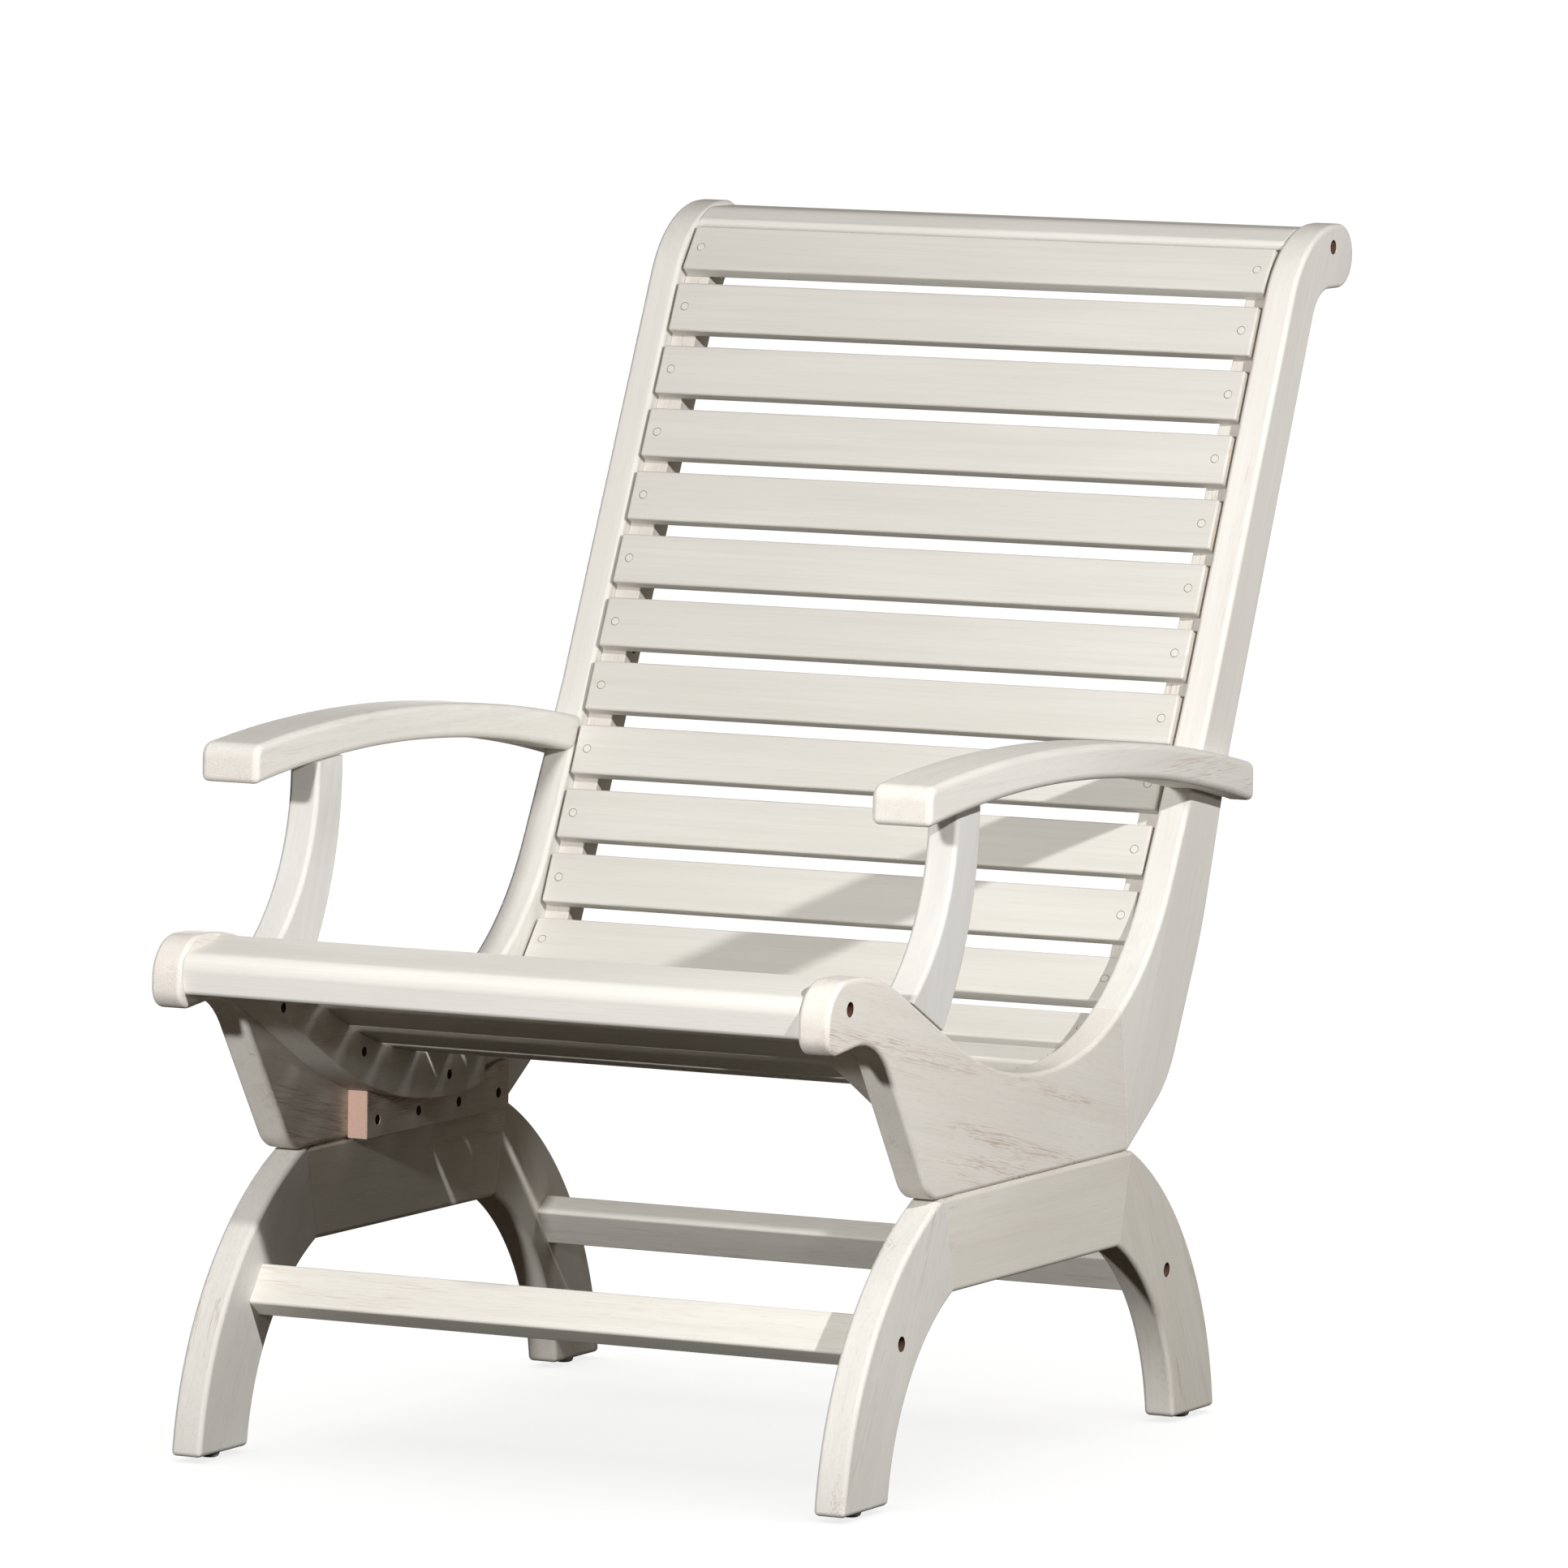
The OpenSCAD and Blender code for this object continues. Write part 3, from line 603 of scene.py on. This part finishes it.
class ARMCHAIR_OT_base(bpy.types.Operator):
    """Round and finish the legs, the base beams and the two stretchers"""

    bl_idname = "armchair.base"
    bl_label = "Base"

    def execute(self, context):
        shape, finish = settings(context)
        # These factors darken the wash of the legs, beams and stretchers, most on the rear legs: partly
        # their tone, partly painted shade.
        leg = material("Washed front leg", washed_wood, finish, 0.85, 0.6, tint=(0.93, 0.93, 0.93),
                       pore_strength=0.5, end_strength=0.1)
        rear_leg = material("Washed rear leg", washed_wood, finish, 0.8, 0.6,
                            tint=(0.86, 0.84, 0.81), pore_strength=0.5)
        beam = material("Washed beam", washed_wood, finish, 0.6, 0.5, tint=(0.93, 0.91, 0.88),
                        pore_strength=0.5)
        bar = material("Washed stretcher", washed_wood, finish, 0.8, 0.6, tint=(0.97, 0.96, 0.94),
                       pore_strength=0.5)
        for i, hand in enumerate(HANDS):
            front, rear = "front_leg_" + hand, "rear_leg_" + hand
            middle = "base_beam_" + hand
            board(front, FRONT_LEG_GRAIN, shape.board_round, leg, 5 + i,
                  shape.broken_edge, glued=[middle])
            board(rear, REAR_LEG_GRAIN, shape.board_round, rear_leg, 7 + i,
                  shape.broken_edge, glued=[middle])
            board(middle, ALONG_Y, shape.board_round, beam, 9 + i,
                  shape.broken_edge, glued=[front, rear])
        for i, end in enumerate(("front", "rear")):
            board(end + "_stretcher", ALONG_X, shape.rail_round, bar, 11 + i,
                  shape.broken_edge, glued=[end + "_leg_left", end + "_leg_right"])
        return {"FINISHED"}


class ARMCHAIR_OT_arms(bpy.types.Operator):
    """Round and finish the two arms and their supports"""

    bl_idname = "armchair.arms"
    bl_label = "Arms"

    def execute(self, context):
        shape, finish = settings(context)
        wood = material("Washed arm", washed_wood, finish, 0.7, 0.55, pore_strength=0.4,
                        end_strength=0.12)
        # The supports' wash is darkened: partly their tone, partly painted shade.
        post = material("Washed arm support", washed_wood, finish, 0.5, 0.35, tint=(0.91, 0.92, 0.94),
                        pore_strength=0.3)
        for i, hand in enumerate(HANDS):
            arm, support = "arm_" + hand, "arm_support_" + hand
            board(arm, ALONG_Y, shape.arm_round, wood, 13 + i,
                  shape.broken_edge, glued=["back_stile_" + hand])
            board(support, SUPPORT_GRAIN, shape.board_round, post, 15 + i,
                  shape.broken_edge, glued=[arm, "seat_side_" + hand])
        return {"FINISHED"}


class ARMCHAIR_OT_rails(bpy.types.Operator):
    """Finish the front rail and the crest rail"""

    bl_idname = "armchair.rails"
    bl_label = "Rails"

    def execute(self, context):
        shape, finish = settings(context)
        wood = material("Washed rail", washed_wood, finish, 0.45, 0.3, pore_strength=0.3)
        board("front_rail", ALONG_X, shape.rail_round, wood, 17,
              shape.broken_edge, glued=["seat_side_left", "seat_side_right"])
        board("crest_rail", ALONG_X, shape.rail_round, wood, 18,
              shape.broken_edge, glued=["back_stile_left", "back_stile_right"])
        return {"FINISHED"}


class ARMCHAIR_OT_slats(bpy.types.Operator):
    """Round and finish all slats and the plugs over their screws"""

    bl_idname = "armchair.slats"
    bl_label = "Slats"

    def execute(self, context):
        shape, finish = settings(context)
        # The slats' and plugs' wash is darkened: partly their tone, partly painted shade. The plugs also
        # get the dark rim.
        wood = material("Washed slat", washed_wood, finish, 0.3, 0.25, tint=(0.88, 0.875, 0.865),
                        pore_strength=0.25, wear=0.9, gloss=0.58)
        plug = material("Washed plug", washed_wood, finish, 0.3, 0.25, tint=(0.93, 0.92, 0.9),
                        pore_strength=0.25, rim=0.45)
        slats = sorted(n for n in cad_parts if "_slat_" in n)
        for i, node in enumerate(slats):
            board(node, ALONG_X, shape.slat_round, wood, 20 + i,
                  shape.broken_edge, segments=3)
        bm = merged_copy("slat_plugs")
        round_edges(bm, sharp_edges(bm), PLUG_ROUND, 2)
        plugs = finish_piece(bm, "slat_plugs", "slat_plugs_finished", plug)
        add_grain(plugs.data, ALONG_X, 50)
        return {"FINISHED"}


class ARMCHAIR_OT_cleats(bpy.types.Operator):
    """Finish the cleats behind the slats and the mounting blocks on the base"""

    bl_idname = "armchair.cleats"
    bl_label = "Cleats and Blocks"

    def execute(self, context):
        shape, finish = settings(context)
        # The cleats' and blocks' wash is darkened: partly their tone, partly painted shade.
        wood = material("Washed cleat", washed_wood, finish, 0.6, 0.5, tint=(0.9, 0.88, 0.86),
                        pore_strength=0.6, gloss=0.7)
        block = material("Sawn block", washed_wood, finish, 0.9, 0.8, tint=(0.87, 0.82, 0.79),
                         pore_strength=0.7, end_colour=tuple(finish.bare_end), end_strength=1.0,
                         gloss=0.75)
        for i, hand in enumerate(HANDS):
            board("back_cleat_" + hand, STILE_GRAIN, shape.cleat_round, wood, 51 + i,
                  shape.broken_edge, segments=2, sharp=FACET_ANGLE)
            board("seat_cleat_" + hand, ALONG_Y, shape.cleat_round, wood, 53 + i,
                  shape.broken_edge, segments=2, sharp=FACET_ANGLE)
            board("mounting_block_" + hand, ALONG_Y, shape.cleat_round, block, 55 + i,
                  shape.broken_edge, segments=2)
        return {"FINISHED"}


class ARMCHAIR_OT_fastenings(bpy.types.Operator):
    """Finish the bolts, screws, dowels and glides"""

    bl_idname = "armchair.fastenings"
    bl_label = "Fastenings"

    def execute(self, context):
        _, finish = settings(context)
        copper = material("Copper plating", plated_metal, tuple(finish.copper), 0.32, 0.45)
        for node in ("rail_bolts", "stretcher_bolts", "base_bolts"):
            bm = merged_copy(node)
            round_edges(bm, sharp_edges(bm), BOLT_ROUND, 2)
            finish_piece(bm, node, node + "_finished", copper)
        for node in ("slat_screws", "block_screws", "cleat_screws", "arm_screws"):
            self.coat(node, copper)
        dowel = material("Bare dowel", bare_wood, tuple(finish.bare_wood))
        for node in ("mitre_dowels", "seam_dowels", "support_dowels"):
            self.coat(node, dowel)
        steel = material("Nickel glide", plated_metal, tuple(finish.steel), 0.2, 0.85, metallic=0.45)
        bm = merged_copy("glides")
        round_edges(bm, sharp_edges(bm), GLIDE_ROUND, 3)
        finish_piece(bm, "glides", "glides_finished", steel)
        return {"FINISHED"}

    def coat(self, node, coating):
        mesh_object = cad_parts[node]
        for slot in mesh_object.material_slots:
            slot.link = "OBJECT"
            slot.material = coating


# ---------------------------------------------------------------- stage

# Camera in the row frame: place in metres, then turn, tilt and roll in radians.
CAMERA_PLACE = Vector((4.78016, -9.46641, 1.62791))
CAMERA_TURN, CAMERA_TILT, CAMERA_ROLL = 0.4660976, 0.0989093, -0.0135562
CAMERA_LENS, CAMERA_SENSOR = 273.10, 36.0
CAMERA_REACH = 400
FLOOR_WASH_ANGLE = math.radians(100)
FLOOR_HALF_WIDTH = 120.0

# Places and diameters of the lamps, in metres. They all point at the middle of the chair.
LAMP_TARGET = Vector((0.0, 0.0, 0.5))
KEY_PLACE, KEY_SIZE = (2.67, -1.42, 1.92), 0.08
FRONT_PLACE, FRONT_SIZE = (-0.12, -3.4, 1.35), 0.16
TOP_PLACE, TOP_SIZE = (0.0, 0.3, 3.2), 1.6
REAR_PLACE, REAR_SIZE = (-2.4, 3.0, 0.5), 1.2
SIDE_PLACE, SIDE_SIZE = (3.3, 0.4, 0.95), 0.3


def camera_matrix():
    turn, tilt, roll = CAMERA_TURN, CAMERA_TILT, CAMERA_ROLL
    ahead = Vector((-math.sin(turn) * math.cos(tilt), math.cos(turn) * math.cos(tilt),
                    -math.sin(tilt)))
    right = Vector((math.cos(turn), math.sin(turn), 0))
    down = ahead.cross(right)
    right_rolled = math.cos(roll) * right + math.sin(roll) * down
    down_rolled = -math.sin(roll) * right + math.cos(roll) * down
    turned = Matrix((right_rolled, -down_rolled, -ahead)).transposed()
    return Matrix.Translation(CAMERA_PLACE) @ turned.to_4x4()


def area_light(name, place, size, power):
    """A round lamp that points at the middle of the chair."""
    data = bpy.data.lights.new(name, "AREA")
    data.shape, data.size = "DISK", size
    data.energy = power
    light = bpy.data.objects.new(name, data)
    bpy.context.scene.collection.objects.link(light)
    light.location = place
    light.rotation_euler = (LAMP_TARGET - Vector(place)).to_track_quat("-Z", "Y").to_euler()
    light.visible_camera = False
    return light


class ARMCHAIR_OT_stage(bpy.types.Operator):
    """Make the floor, the lights, the room and the camera"""

    bl_idname = "armchair.stage"
    bl_label = "Stage"

    def execute(self, context):
        stage = context.scene.armchair_stage
        floor = self.make_floor(stage)
        lights = [
            area_light("Key", KEY_PLACE, KEY_SIZE, stage.key),
            area_light("Front", FRONT_PLACE, FRONT_SIZE, stage.front),
            area_light("Top", TOP_PLACE, TOP_SIZE, stage.top),
            area_light("Rear", REAR_PLACE, REAR_SIZE, stage.rear),
            area_light("Side", SIDE_PLACE, SIDE_SIZE, stage.side),
        ]
        self.keep_off(floor, lights)
        self.floor_light(floor, stage)
        self.make_room(stage)
        self.make_camera()
        context.scene.view_settings.view_transform = "Standard"
        return {"FINISHED"}

    def make_floor(self, stage):
        bm = bmesh.new()
        bmesh.ops.create_grid(bm, x_segments=1, y_segments=1, size=FLOOR_HALF_WIDTH)
        mesh = bpy.data.meshes.new("Floor")
        bm.to_mesh(mesh)
        bm.free()
        floor = bpy.data.objects.new("Floor", mesh)
        bpy.context.scene.collection.objects.link(floor)
        mesh.materials.append(self.floor_material(stage))
        return floor

    def floor_material(self, stage):
        """Nearly white to the eye, and dull to the light that it would throw back at the chair."""
        material_ = bpy.data.materials.new("Pale floor")
        material_.use_nodes = True
        tree = material_.node_tree
        tree.nodes.clear()
        w = Wiring(tree)
        seen = w.nodes.new("ShaderNodeBsdfDiffuse")
        w.put(list(stage.floor) + [1], seen.inputs["Color"])
        glow = w.nodes.new("ShaderNodeEmission")
        glow.inputs["Strength"].default_value = stage.floor_glow
        both = w.nodes.new("ShaderNodeAddShader")
        w.put(seen.outputs[0], both.inputs[0])
        w.put(glow.outputs[0], both.inputs[1])
        dull = w.nodes.new("ShaderNodeBsdfDiffuse")
        dull.inputs["Color"].default_value = list(stage.floor_bounce) + [1]
        choose = w.nodes.new("ShaderNodeMixShader")
        w.put(w.nodes.new("ShaderNodeLightPath").outputs["Is Camera Ray"], choose.inputs[0])
        w.put(dull.outputs[0], choose.inputs[1])
        w.put(both.outputs[0], choose.inputs[2])
        out = w.nodes.new("ShaderNodeOutputMaterial")
        w.put(choose.outputs[0], out.inputs["Surface"])
        return material_

    def keep_off(self, floor, lights):
        """The lamps light the chair alone; the floor has the room's light and a wash of its own."""
        unlit = bpy.data.collections.new("Lit by the room only")
        unlit.objects.link(floor)
        unlit.collection_objects[0].light_linking.link_state = "EXCLUDE"
        for light in lights:
            light.light_linking.receiver_collection = unlit

    def floor_light(self, floor, stage):
        """A wide light from above that falls on the floor alone, for the faint shadow on it."""
        data = bpy.data.lights.new("Floor wash", "SUN")
        data.energy, data.angle = stage.floor_wash, FLOOR_WASH_ANGLE
        light = bpy.data.objects.new("Floor wash", data)
        bpy.context.scene.collection.objects.link(light)
        alone = bpy.data.collections.new("Lit by the floor wash")
        alone.objects.link(floor)
        light.light_linking.receiver_collection = alone

    def make_room(self, stage):
        world = bpy.data.worlds.new("Room")
        bpy.context.scene.world = world
        world.use_nodes = True
        w = Wiring(world.node_tree)
        even = next(n for n in w.nodes if n.type == "BACKGROUND")
        seen = w.nodes.new("ShaderNodeLightPath").outputs["Is Camera Ray"]
        w.put(w.mix(seen, list(stage.sky) + [1], (1, 1, 1, 1)), even.inputs["Color"])
        even.inputs["Strength"].default_value = 1.0

    def make_camera(self):
        data = bpy.data.cameras.new("Camera")
        data.sensor_width, data.lens = CAMERA_SENSOR, CAMERA_LENS
        data.clip_end = CAMERA_REACH
        camera = bpy.data.objects.new("Camera", data)
        bpy.context.scene.collection.objects.link(camera)
        camera.matrix_world = camera_matrix()
        bpy.context.scene.camera = camera


# ---------------------------------------------------------------- add-on

class ARMCHAIR_PT_panel(bpy.types.Panel):
    """Settings and steps of the armchair's finish"""

    bl_idname = "ARMCHAIR_PT_panel"
    bl_label = "Armchair"
    bl_space_type = "VIEW_3D"
    bl_region_type = "UI"
    bl_category = "Armchair"

    def draw(self, context):
        layout = self.layout
        scene = context.scene
        for label, group in (("Edges", scene.armchair_shape), ("Finish", scene.armchair_finish),
                             ("Stage", scene.armchair_stage)):
            box = layout.box()
            box.label(text=label)
            for name in group.__annotations__:
                box.prop(group, name)
        for operator in OPERATORS:
            layout.operator(operator.bl_idname)


GROUPS_OF_SETTINGS = (ArmchairShape, ArmchairFinish, ArmchairStage)
OPERATORS = (ARMCHAIR_OT_side_frames, ARMCHAIR_OT_base, ARMCHAIR_OT_arms, ARMCHAIR_OT_rails,
             ARMCHAIR_OT_slats, ARMCHAIR_OT_cleats, ARMCHAIR_OT_fastenings, ARMCHAIR_OT_stage)
CLASSES = GROUPS_OF_SETTINGS + OPERATORS + (ARMCHAIR_PT_panel,)


def register():
    for cls in CLASSES:
        bpy.utils.register_class(cls)
    bpy.types.Scene.armchair_shape = bpy.props.PointerProperty(type=ArmchairShape)
    bpy.types.Scene.armchair_finish = bpy.props.PointerProperty(type=ArmchairFinish)
    bpy.types.Scene.armchair_stage = bpy.props.PointerProperty(type=ArmchairStage)


def unregister():
    for name in ("armchair_stage", "armchair_finish", "armchair_shape"):
        delattr(bpy.types.Scene, name)
    for cls in reversed(CLASSES):
        bpy.utils.unregister_class(cls)


def main():
    register()
    bpy.ops.armchair.side_frames()
    bpy.ops.armchair.base()
    bpy.ops.armchair.arms()
    bpy.ops.armchair.rails()
    bpy.ops.armchair.slats()
    bpy.ops.armchair.cleats()
    bpy.ops.armchair.fastenings()
    bpy.ops.armchair.stage()


if __name__ == "__main__":
    main()
